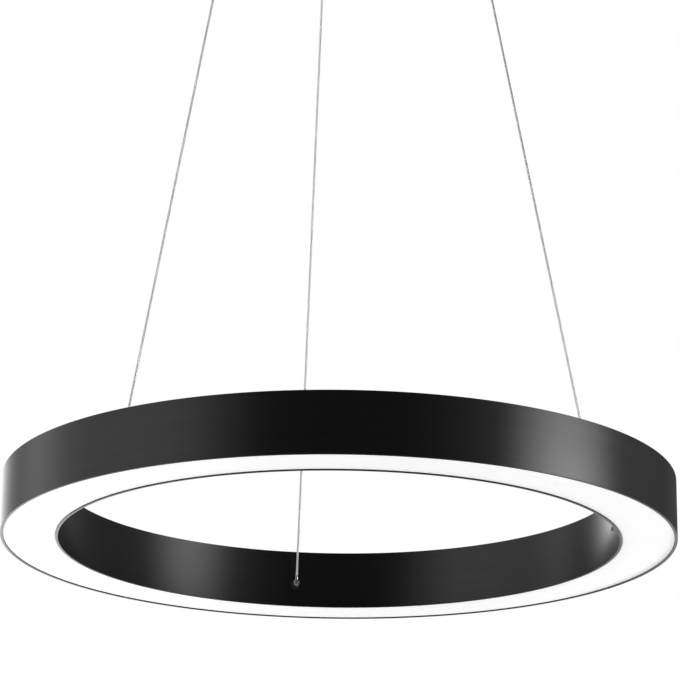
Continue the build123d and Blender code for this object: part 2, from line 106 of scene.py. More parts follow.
@dataclass
class Flow:
    """One value that runs through a recipe's nodes, with arithmetic that adds Math nodes."""

    recipe: "Recipe"
    socket: Socket

    def math(self, operation: str, *values: "Flow | float") -> "Flow":
        """Result of a Math node with that operation and these inputs in order."""
        node = self.recipe.node("Math", {"operation": operation}, dict(enumerate(values)))
        return Flow(self.recipe, node.outputs[0])

    def __add__(self, other: "Flow | float") -> "Flow":
        """Sum of two values."""
        return self.math("ADD", self, other)

    def __sub__(self, other: "Flow | float") -> "Flow":
        """Difference of two values."""
        return self.math("SUBTRACT", self, other)

    def __rsub__(self, other: float) -> "Flow":
        """Difference that starts from a plain number."""
        return self.math("SUBTRACT", other, self)

    def __mul__(self, other: "Flow | float") -> "Flow":
        """Product of two values."""
        return self.math("MULTIPLY", self, other)

    __radd__ = __add__
    __rmul__ = __mul__

    def hypot(self, other: "Flow") -> "Flow":
        """Length of the two values taken as legs of a right angle."""
        return self.math("SQRT", self * self + other * other)

    def angle_to(self, other: "Flow") -> "Flow":
        """Angle of a point, in degrees, with this value as its sine leg and the other as its cosine leg."""
        return self.math("ARCTAN2", self, other) * DEGREES

    def size(self) -> "Flow":
        """The value without its sign."""
        return self.math("ABSOLUTE", self)

    def at_least(self, other: "Flow | float") -> "Flow":
        """The larger of two values."""
        return self.math("MAXIMUM", self, other)

    def eased(self, start: float, end: float) -> "Flow":
        """Smooth step from 0 where the value is start to 1 where it is end.

        Args:
            start: Value at which the step begins.
            end: Value at which it ends, which may be lower than start.

        Returns:
            The eased share.
        """
        limits = (start, end, 0.0, 1.0) if start < end else (end, start, 1.0, 0.0)
        inputs = dict(zip(("Value", "From Min", "From Max", "To Min", "To Max"), (self, *limits)))
        node = self.recipe.node("MapRange", {"interpolation_type": "SMOOTHSTEP"}, inputs)
        return Flow(self.recipe, node.outputs["Result"])


class Recipe:
    """Node tree of one material or of the world, with a method that adds any node."""

    def __init__(self, owner: bpy.types.ID) -> None:
        """Empties the owner's node tree.

        Args:
            owner: A material or a world.
        """
        owner.use_nodes = True
        self.owner = owner
        self.tree = owner.node_tree
        self.tree.nodes.clear()

    def node(self, kind: str, settings: dict | None = None, inputs: dict | None = None) -> Node:
        """Adds one node.

        Args:
            kind: Blender's type name of the node, without the leading ShaderNode.
            settings: Properties to set before the inputs.
            inputs: Values, sockets or flows by the name or number of the input.

        Returns:
            The new node.
        """
        node = self.tree.nodes.new("ShaderNode" + kind)
        for name, value in (settings or {}).items():
            setattr(node, name, value)
        for name, value in (inputs or {}).items():
            slot = node.inputs[name]
            if isinstance(value, (Flow, Socket)):
                self.tree.links.new(getattr(value, "socket", value), slot)
            else:
                slot.default_value = (*value, 1.0) if slot.type == "RGBA" else value
        return node

    def flow(self, socket: Socket) -> Flow:
        """Wraps a socket for arithmetic."""
        return Flow(self, socket)

    def spot(self) -> Socket:
        """Object coordinates of the surface, as one vector."""
        return self.node("TexCoord").outputs["Object"]

    def place(self) -> tuple[Flow, Flow, Flow]:
        """Object coordinates of the surface, one flow for each axis."""
        parts = self.node("SeparateXYZ", inputs={"Vector": self.spot()}).outputs
        return tuple(self.flow(part) for part in parts)

    def point(self, x: Flow, y: Flow, z: Flow) -> Socket:
        """Vector of three values."""
        return self.node("CombineXYZ", inputs={"X": x, "Y": y, "Z": z}).outputs[0]

    def noise(self, where: Socket, scale: float = 1.0, detail: float = 2.0) -> Flow:
        """Cloudy noise from 0 to 1, with that many waves in one unit of the vector."""
        made = self.node("TexNoise", inputs={"Vector": where, "Scale": scale, "Detail": detail})
        return self.flow(made.outputs["Fac"])

    def blend(self, share: Flow, low: Colour, high: Colour) -> Socket:
        """Colour between two colours, the first where the share is 0 and the second where it is 1."""
        mix = self.node("Mix", {"data_type": "RGBA"}, {"Factor": share, MIX_LOW: low, MIX_HIGH: high})
        return mix.outputs[MIX_RESULT]

    def bump(self, height: Flow, depth: float) -> Socket:
        """Normal that follows a height from 0 to 1, where 1 stands for the depth."""
        made = self.node("Bump", inputs={"Height": height, "Distance": depth, "Strength": 1.0})
        return made.outputs["Normal"]

    def light(self, strength: Flow | float) -> Node:
        """White light of that strength."""
        return self.node("Emission", inputs={"Color": WHITE, "Strength": strength})

    def seen(self) -> Flow:
        """Tells rays that show a surface from rays that only light one.

        Returns:
            1 for camera, glossy and transmission rays, and 0 for the rest.
        """
        path = self.node("LightPath").outputs
        rays = [self.flow(path[f"Is {kind} Ray"]) for kind in ("Camera", "Glossy", "Transmission")]
        return rays[0].at_least(rays[1]).at_least(rays[2])

    def ending(self, shader: Node) -> Material:
        """Ends the tree of a material in a shader and gives the material back."""
        self.node("OutputMaterial", inputs={"Surface": shader.outputs[0]})
        return self.owner

    def surface(self, inputs: dict) -> Material:
        """Ends the tree in one Principled shader with these values and links, by name."""
        return self.ending(self.node("BsdfPrincipled", inputs=inputs))


def new_recipe(name: str) -> Recipe:
    """Recipe of a new material with that name."""
    return Recipe(bpy.data.materials.new(name))


# Finishes


@dataclass(frozen=True)
class BrushedBlack:
    """Black anodised aluminium with fine brushing round the lamp's axis."""

    dark: Colour = (0.028, 0.028, 0.0285)
    light: Colour = (0.033, 0.033, 0.0335)
    contrast: Span = (0.25, 0.75)
    roughness: float = 0.30
    spread: float = 0.06
    anisotropy: float = 0.65
    anisotropy_turn: float = 0.25  # share of a whole turn
    across: float = 900.0  # waves in a metre across the brushing
    along: float = 5.0  # waves in a metre along it
    broad: float = 0.2  # waves of the broad streaks for one of the fine
    fine_share: float = 0.6
    detail: float = 3.0
    groove: float = 0.006 * MM

    def make(self) -> Material:
        """Noise stretched along the circumference: it changes fast only with height and radius.

        Returns:
            The material.
        """
        recipe = new_recipe("brushed_black")
        x, y, z = recipe.place()
        step = (z + x.hypot(y)) * self.across
        east, north = x * self.along, y * self.along
        fine = recipe.noise(recipe.point(east, north, step), detail=self.detail)
        broad = recipe.noise(recipe.point(east, north, step * self.broad))
        streak = fine * self.fine_share + broad * (1.0 - self.fine_share)
        return recipe.surface({
            "Base Color": recipe.blend(streak.eased(*self.contrast), self.dark, self.light),
            "Metallic": 1.0,
            "Roughness": streak * self.spread + (self.roughness - 0.5 * self.spread),
            "Anisotropic": self.anisotropy,
            "Anisotropic Rotation": self.anisotropy_turn,
            "Normal": recipe.bump(streak, self.groove),
        })


@dataclass(frozen=True)
class OpalGlow:
    """Opal acrylic lit from behind, dimmer along its inner edge and along one stretch of its outer edge."""

    inner: float
    outer: float
    body: Colour = (0.80, 0.80, 0.80)
    bright: Colour = (0.478, 0.478, 0.478)
    dim: Colour = (0.0, 0.0, 0.0)
    inner_strip: float = 14 * MM
    inner_loss: float = 0.13
    outer_strip: float = 10 * MM
    outer_loss: float = 0.62
    loss_comes: Span = (-22.0, 12.0)  # azimuths
    loss_goes: Span = (50.0, 28.0)
    roughness: float = 0.42
    spread: float = 0.08
    grain: float = 700.0  # waves in a metre
    depth: float = 0.01 * MM

    def make(self) -> Material:
        """Light that falls off over the last millimetres beside the two walls.

        Returns:
            The material.
        """
        recipe = new_recipe("opal_glow")
        x, y, _ = recipe.place()
        radius = x.hypot(y)
        azimuth = y.angle_to(x)
        weak = azimuth.eased(*self.loss_comes) * azimuth.eased(*self.loss_goes)
        inner = radius.eased(self.inner + self.inner_strip, self.inner) * self.inner_loss
        outer = radius.eased(self.outer - self.outer_strip, self.outer) * weak * self.outer_loss
        grain = recipe.noise(recipe.spot(), self.grain)
        return recipe.surface({
            "Base Color": self.body,
            "Roughness": grain * self.spread + self.roughness,
            "Emission Color": recipe.blend(inner + outer, self.bright, self.dim),
            "Emission Strength": 1.0,
            "Normal": recipe.bump(grain, self.depth),
        })


@dataclass(frozen=True)
class StrandedSteel:
    """Bright drawn steel strands under a clear sheath."""

    dark: Colour = (0.52, 0.53, 0.54)
    light: Colour = (0.84, 0.85, 0.86)
    roughness: float = 0.34
    spread: float = 0.1
    across: float = 900.0  # waves in a metre
    along: float = 220.0
    sheath: float = 0.6
    sheath_roughness: float = 0.15

    def make(self) -> Material:
        """Faint drawing marks along the strands, with a clear coat for the sheath.

        Returns:
            The material.
        """
        recipe = new_recipe("stranded_steel")
        x, y, z = recipe.place()
        mark = recipe.noise(recipe.point(x * self.across, y * self.across, z * self.along))
        return recipe.surface({
            "Base Color": recipe.blend(mark, self.dark, self.light),
            "Metallic": 1.0,
            "Roughness": mark * self.spread + self.roughness,
            "Coat Weight": self.sheath,
            "Coat Roughness": self.sheath_roughness,
        })


@dataclass(frozen=True)
class PlatedMetal:
    """Plated or bare metal with slight clouding and fine turning marks."""

    name: str
    dark: Colour
    light: Colour
    roughness: float
    spread: float = 0.12
    contrast: Span = (0.3, 0.7)
    cloud: float = 160.0  # waves in a metre
    detail: float = 3.0
    across: float = 300.0  # turning marks in a metre, across and along Z
    along: float = 2600.0
    turning: float = 0.004 * MM

    def make(self) -> Material:
        """Two noises, one for clouding in colour and one for fine marks.

        Returns:
            The material.
        """
        recipe = new_recipe(self.name)
        x, y, z = recipe.place()
        cloud = recipe.noise(recipe.spot(), self.cloud, self.detail)
        fine = recipe.noise(recipe.point(x * self.across, y * self.across, z * self.along))
        return recipe.surface({
            "Base Color": recipe.blend(cloud.eased(*self.contrast), self.dark, self.light),
            "Metallic": 1.0,
            "Roughness": cloud * self.spread + (self.roughness - 0.5 * self.spread),
            "Normal": recipe.bump(fine, self.turning),
        })


@dataclass(frozen=True)
class SpangledZinc:
    """Zinc-plated sheet steel with its faint crystal flakes."""

    dark: Colour = (0.46, 0.47, 0.49)
    light: Colour = (0.66, 0.67, 0.69)
    roughness: float = 0.30
    spread: float = 0.16
    flake: float = 220.0  # flakes in a metre

    def make(self) -> Material:
        """Random tone for each cell of a cell pattern.

        Returns:
            The material.
        """
        recipe = new_recipe("spangled_zinc")
        cells = recipe.node("TexVoronoi", inputs={"Vector": recipe.spot(), "Scale": self.flake})
        parts = recipe.node("SeparateXYZ", inputs={"Vector": cells.outputs["Color"]})
        tone = recipe.flow(parts.outputs["X"])
        return recipe.surface({
            "Base Color": recipe.blend(tone, self.dark, self.light),
            "Metallic": 1.0,
            "Roughness": tone * self.spread + self.roughness,
        })


@dataclass(frozen=True)
class MouldedPlastic:
    """Plastic, paint or resin with a fine skin."""

    name: str
    dark: Colour
    light: Colour
    roughness: float
    spread: float = 0.10
    contrast: Span = (0.3, 0.7)
    slow: float = 14.0  # waves in a metre of tone
    grain: float = 900.0  # waves in a metre of skin
    depth: float = 0.03 * MM
    coat: float = 0.0

    def make(self) -> Material:
        """Slow tone changes over the piece and a fine bumpy skin.

        Returns:
            The material.
        """
        recipe = new_recipe(self.name)
        slow = recipe.noise(recipe.spot(), self.slow)
        skin = recipe.noise(recipe.spot(), self.grain)
        return recipe.surface({
            "Base Color": recipe.blend(slow.eased(*self.contrast), self.dark, self.light),
            "Roughness": skin * self.spread + (self.roughness - 0.5 * self.spread),
            "Coat Weight": self.coat,
            "Normal": recipe.bump(skin, self.depth),
        })


@dataclass(frozen=True)
class LitPhosphor:
    """Yellow phosphor of the LED chips, lit."""

    tint: Colour = (0.95, 0.82, 0.35)
    light: Colour = (1.0, 0.93, 0.72)
    roughness: float = 0.3
    grain: float = 2500.0  # waves in a metre

    def make(self) -> Material:
        """Fine grains of phosphor in the resin.

        Returns:
            The material.
        """
        recipe = new_recipe("lit_phosphor")
        tone = recipe.blend(recipe.noise(recipe.spot(), self.grain), self.tint, self.light)
        return recipe.surface({
            "Base Color": tone,
            "Roughness": self.roughness,
            "Emission Color": tone,
            "Emission Strength": 1.0,
        })


Finish = BrushedBlack | OpalGlow | StrandedSteel | PlatedMetal | SpangledZinc | MouldedPlastic | LitPhosphor

BLACK = BrushedBlack()
STEEL = StrandedSteel()
NICKEL = PlatedMetal("polished_nickel", (0.60, 0.60, 0.59), (0.70, 0.70, 0.69), 0.25)
SMOKED = PlatedMetal("smoked_nickel", (0.17, 0.17, 0.172), (0.22, 0.22, 0.222), 0.33)
SPRING = PlatedMetal("drawn_spring", (0.48, 0.48, 0.49), (0.62, 0.62, 0.63), 0.28)
ALUMINIUM = PlatedMetal("mill_aluminium", (0.70, 0.71, 0.72), (0.82, 0.83, 0.84), 0.38)
BRASS = PlatedMetal("turned_brass", (0.62, 0.45, 0.17), (0.76, 0.58, 0.25), 0.24)
DARK_STEEL = PlatedMetal("darkened_steel", (0.36, 0.36, 0.362), (0.46, 0.46, 0.462), 0.44)
ZINC = SpangledZinc()
PAINT = MouldedPlastic("satin_black_paint", (0.018, 0.018, 0.019), (0.024, 0.024, 0.025), 0.40,
                       grain=1400.0, depth=0.02 * MM)
NYLON = MouldedPlastic("black_nylon", (0.014, 0.014, 0.014), (0.022, 0.022, 0.022), 0.55)
PLASTIC = MouldedPlastic("moulded_white", (0.80, 0.80, 0.79), (0.85, 0.85, 0.84), 0.46)
MASK_WHITE = MouldedPlastic("white_board", (0.84, 0.84, 0.82), (0.88, 0.88, 0.86), 0.35)
MASK_GREEN = MouldedPlastic("green_board", (0.03, 0.19, 0.08), (0.05, 0.25, 0.11), 0.30, coat=0.3)
TAPE = MouldedPlastic("winding_tape", (0.74, 0.55, 0.07), (0.82, 0.64, 0.10), 0.36)
PHOSPHOR = LitPhosphor()


@cache
def material(finish: Finish) -> Material:
    """Material of a finish, made when it is first asked for."""
    return finish.make()


# Meshes


@dataclass
class Grid:
    """Points of one surface as a function of two parameters."""

    points: Array
    closed: Closed = Closed.AROUND

    def quads(self) -> Array:
        """Corner numbers of every cell.

        Returns:
            One row of four numbers for each quad.
        """
        rows, columns = self.points.shape[:2]
        wrap_rows, wrap_columns = self.closed.value
        here = np.arange(rows * columns).reshape(rows, columns)
        right, above = np.roll(here, -1, axis=1), np.roll(here, -1, axis=0)
        quads = np.stack([here, right, np.roll(above, -1, axis=1), above], axis=-1)
        return quads[:rows - (not wrap_rows), :columns - (not wrap_columns)].reshape(-1, 4)


def make_piece(name: str, grids: list[Grid], look: Material) -> Piece:
    """Puts grids into one mesh, closes their seams and poles, and turns the faces outwards.

    Args:
        name: Name of the piece.
        grids: Its surfaces.
        look: Its material.

    Returns:
        The piece's object, at the origin.
    """
    points = [grid.points.reshape(-1, 3) for grid in grids]
    starts = np.cumsum([0] + [len(each) for each in points])
    quads = np.concatenate([grid.quads() + start for grid, start in zip(grids, starts)])
    mesh = bpy.data.meshes.new(name)
    mesh.from_pydata(np.concatenate(points), [], quads)
    weld = bmesh.new()
    weld.from_mesh(mesh)
    bmesh.ops.remove_doubles(weld, verts=weld.verts, dist=WELD)
    bmesh.ops.dissolve_degenerate(weld, edges=weld.edges, dist=SLIVER)
    bmesh.ops.recalc_face_normals(weld, faces=weld.faces)
    weld.to_mesh(mesh)
    weld.free()
    mesh.polygons.foreach_set("use_smooth", np.ones(len(mesh.polygons), dtype=bool))
    mesh.materials.append(look)
    piece = bpy.data.objects.new(name, mesh)
    bpy.context.scene.collection.objects.link(piece)
    return piece


def add_piece(name: str, grids: list[Grid], finish: Finish, node: str,
              body: str = Body.CANOPY.value) -> Piece:
    """Makes a piece that rides on a body and stands for a CAD node.

    Args:
        name: Name of the piece.
        grids: Its surfaces.
        finish: Its finish.
        node: Name of the CAD node.
        body: Name of the body.

    Returns:
        The piece.
    """
    piece = make_piece(name, grids, material(finish))
    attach(piece, body)
    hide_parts(node)
    log.info("%s rides on %s, %d faces", name, body, len(piece.data.polygons))
    return piece


def dress(finishes: dict[str, Finish]) -> None:
    """Gives CAD nodes that stay in view their finishes.

    Args:
        finishes: Finish of each node, by the node's name.
    """
    for node, finish in finishes.items():
        slots = frame["nodes"][node].data.materials
        slots.clear()
        slots.append(material(finish))
        log.info("%s keeps its solid, in %s", node, slots[0].name)


def heights(node: str) -> Span:
    """Lowest and highest z of a CAD node."""
    low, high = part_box(node)
    return low[2], high[2]


def travel(joint: str) -> float:
    """Upper limit of a sliding joint."""
    return next(each["range_m"][1] for each in frame["joints"] if each["name"] == joint)


def polar(radius: float, azimuth: float, z: float) -> Array:
    """Point at a radius and an azimuth about the lamp's axis."""
    turn = math.radians(azimuth)
    return np.array([radius * math.cos(turn), radius * math.sin(turn), z])


def unit(vectors: Array) -> Array:
    """Vectors brought to length 1, along the last axis."""
    return vectors / np.linalg.norm(vectors, axis=-1, keepdims=True)


def full_turn(steps: int) -> Array:
    """Equal steps round a circle, in radians."""
    return np.linspace(0.0, 2 * np.pi, steps, endpoint=False)


def arc(radius: float, start: float, end: float, steps: int) -> Array:
    """Points on an arc about the origin, with angles from the first coordinate's axis."""
    angle = np.radians(np.linspace(start, end, steps))
    return np.stack([radius * np.cos(angle), radius * np.sin(angle)], axis=1)


def bend(start: Array, pull: Array, end: Array, t: Array) -> Array:
    """Quadratic curve: (1 - t) squared start + 2 t (1 - t) pull + t squared end."""
    return (1 - t) ** 2 * start + 2 * t * (1 - t) * pull + t**2 * end


def rounded(outline: list[Span], radius: float, steps: int = 5) -> Array:
    """Closed outline with every corner rounded by a curve from edge to edge.

    Corner P with edge directions a and b becomes the quadratic curve from P + radius a to P + radius b that P
    pulls, between two points that hold the flat faces flat.

    Args:
        outline: Corners in order.
        radius: From a corner to the start of its curve.
        steps: Points on each curve.

    Returns:
        Points of the rounded outline, one row each.
    """
    corner = np.array(outline, dtype=float)[:, None]
    back, ahead = (unit(np.roll(corner, shift, axis=0) - corner) for shift in (1, -1))
    t = np.linspace(0.0, 1.0, steps)[:, None]
    curve = bend(corner + radius * back, corner, corner + radius * ahead, t)
    far = HOLD * radius
    return np.concatenate([corner + far * back, curve, corner + far * ahead], axis=1).reshape(-1, 2)


def washer(inner: float, outer: float, low: float, high: float, edge: float) -> Array:
    """Rounded outline of a flat ring's section, as rows of radius and height."""
    return rounded([(inner, low), (outer, low), (outer, high), (inner, high)], edge)


def square_to(axis: Array) -> tuple[Array, Array]:
    """Two unit vectors that make a right-handed set with the axis.

    Args:
        axis: Unit vector.

    Returns:
        The two vectors.
    """
    helper = [0.0, 1.0, 0.0] if abs(axis[0]) >= NEAR_X else [1.0, 0.0, 0.0]
    u = unit(np.cross(axis, helper))
    return u, np.cross(axis, u)


def lathe(radii: Array, levels: Array, base: Array, axis: Array, closed: Closed = Closed.AROUND) -> Grid:
    """Rings about an axis: base + level axis + radius (cos turn u + sin turn v).

    Args:
        radii: Radius of every point, with a row for each ring.
        levels: Height of each ring along the axis.
        base: Point on the axis at height 0.
        axis: Unit vector.
        closed: Directions in which the surface joins itself.

    Returns:
        The surface's grid.
    """
    u, v = square_to(axis)
    turn = full_turn(radii.shape[1])[:, None]
    spoke = np.cos(turn) * u + np.sin(turn) * v
    return Grid(base + levels[:, None, None] * axis + radii[:, :, None] * spoke, closed)


def turned(profile: Array, base: Array, axis: Array, segments: int, closed: Closed = Closed.BOTH) -> Grid:
    """Profile, as rows of radius and height, carried round an axis by the lathe."""
    return lathe(np.repeat(profile[:, :1], segments, axis=1), profile[:, 1], base, axis, closed)


@dataclass(frozen=True)
class Winding:
    """Round strand that winds about a straight line."""

    reach: float  # from the line to the strand's middle
    thickness: float  # radius of the strand
    lay: float  # length of one turn
    per_turn: int  # rings of points
    sides: int  # points of one ring

    def grid(self, start: Array, end: Array, phase: float = 0.0) -> Grid:
        """Circles square to a middle line: the line plus reach times a spoke that turns once in each lay.

        The two end circles shrink to a point, so the strand is closed.

        Args:
            start: First end of the line.
            end: Second end of the line.
            phase: Angle at the start, in radians.

        Returns:
            The strand's grid.
        """
        length = float(np.linalg.norm(end - start))
        axis = (end - start) / length
        u, v = square_to(axis)
        count = max(3, int(length / self.lay * self.per_turn))
        along = np.concatenate([[0.0], np.linspace(0.0, length, count), [length]])[:, None]
        turn = 2 * np.pi * along / self.lay + phase
        spoke = np.cos(turn) * u + np.sin(turn) * v
        side = np.cos(turn) * v - np.sin(turn) * u
        forward = unit(axis + 2 * np.pi * self.reach / self.lay * side)
        cross = np.cross(forward, spoke)
        middle = start + along * axis + self.reach * spoke
        size = np.full(len(along), self.thickness)
        size[[0, -1]] = 0.0
        ring = full_turn(self.sides)[None, :, None]
        section = np.cos(ring) * spoke[:, None] + np.sin(ring) * cross[:, None]
        return Grid(middle[:, None] + size[:, None, None] * section)


@dataclass(frozen=True)
class ButtonScrew:
    """Screw with a domed head and a six-sided socket."""

    head: float  # radius
    dome: float  # height of the head
    socket: float  # from the socket's middle to its flats
    depth: float  # of the socket
    shank: float  # radius
    length: float  # of the shank
    segments: int = 48
    taper: float = 0.42  # share of its radius that the dome loses
    taper_power: float = 1.6
    foot: float = 0.96  # radius of the head's flat side, against the head's
    foot_bevel: float = 0.04  # heights against the dome's
    rim: float = 0.25
    socket_bevel: float = 0.06

    def grid(self, base: Array, axis: Array) -> Grid:
        """Rings from the tip over the dome into the socket, where radius = socket / cos(angle to a flat).

        Args:
            base: Point where the head's flat side meets its seat.
            axis: Unit vector from the seat out through the head.

        Returns:
            The screw's grid.
        """
        to_flat = (full_turn(self.segments) + np.pi / 6) % (np.pi / 3) - np.pi / 6
        hexagon = self.socket / np.cos(to_flat)
        crown = np.linspace(0.0, 1.0, num=7)
        cap = self.head * (1.0 - self.taper * crown**self.taper_power)
        circles = np.concatenate([[0.0, self.shank, self.shank, self.foot * self.head, self.head], cap])
        inside = [(1.0 + self.socket_bevel) * hexagon, hexagon, hexagon, 0.0 * hexagon]
        radii = np.concatenate([np.repeat(circles[:, None], self.segments, axis=1), inside])
        rim, bottom = self.rim * self.dome, self.dome - self.depth
        levels = np.concatenate([
            [-self.length, -self.length, 0.0, 0.0, self.foot_bevel * self.dome],
            rim + (self.dome - rim) * np.sin(crown * np.pi / 2),
            [self.dome, (1.0 - self.socket_bevel) * self.dome, bottom, bottom],
        ])
        return lathe(radii, levels, base, axis)


# Sub-assemblies


@dataclass
class RingLamp:
    """Lit ring: channel, diffuser, tray screws and what the channel hides."""

    outer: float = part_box("ring_profile")[1][0]
    low: float = heights("ring_profile")[0]
    high: float = heights("ring_profile")[1]
    width: float = 59.5 * MM
    wall: float = 3.0 * MM
    edge: float = 0.35 * MM  # rounding of the edges
    gap: float = 0.2 * MM  # between diffuser and channel
    recess: float = 1.0 * MM
    plate: float = 2.0 * MM
    leg: float = 1.2 * MM
    segments: int = 720
    screw_azimuths: Span = (8.1, 188.1)
    screw_height: float = 30.4 * MM
    screw: ButtonScrew = ButtonScrew(head=2.5 * MM, dome=1.6 * MM, socket=1.25 * MM, depth=0.9 * MM,
                                     shank=1.5 * MM, length=7.5 * MM)

    @property
    def inner(self) -> float:
        """Radius of the ring's hole."""
        return self.outer - self.width

    def ring_grid(self, outline: list[Span]) -> Grid:
        """Outline with rounded edges, turned round the lamp's axis."""
        return turned(rounded(outline, self.edge), ORIGIN, UP, self.segments)

    def channel(self) -> None:
        """Two walls and a web, turned round the lamp's axis."""
        inside, outside = self.inner + self.wall, self.outer - self.wall
        web = self.high - self.wall
        grid = self.ring_grid([
            (self.inner, self.low), (inside, self.low), (inside, web), (outside, web), (outside, self.low),
            (self.outer, self.low), (self.outer, self.high), (self.inner, self.high),
        ])
        add_piece("ring_channel", [grid], BLACK, "ring_profile", Body.RING.value)

    def diffuser(self) -> None:
        """Flat opal plate with a short outer and a tall inner leg, turned round the lamp's axis."""
        inside, outside = self.inner + self.wall + self.gap, self.outer - self.wall - self.gap
        bottom = self.low + self.recess
        top = bottom + self.plate
        short_top = heights("led_tray")[0]
        tall_top = heights("diffuser")[1]
        grid = self.ring_grid([
            (inside, bottom), (outside, bottom), (outside, short_top), (outside - self.leg, short_top),
            (outside - self.leg, top), (inside + self.leg, top), (inside + self.leg, tall_top),
            (inside, tall_top),
        ])
        add_piece("opal_diffuser", [grid], OpalGlow(inside, outside), "diffuser", Body.RING.value)

    def tray_screws(self) -> None:
        """Button heads on the inner wall, which point to the lamp's axis."""
        z = self.low + self.screw_height
        grids = [self.screw.grid(polar(self.inner, azimuth, z), -polar(1.0, azimuth, 0.0))
                 for azimuth in self.screw_azimuths]
        add_piece("tray_button_screws", grids, DARK_STEEL, "tray_screws", Body.RING.value)

    def build(self) -> None:
        """Makes the ring's pieces and dresses what its channel hides."""
        self.channel()
        self.diffuser()
        self.tray_screws()
        dress({"led_tray": ALUMINIUM, "led_boards": MASK_WHITE, "led_chips": PHOSPHOR, "anchor_nuts": NYLON})


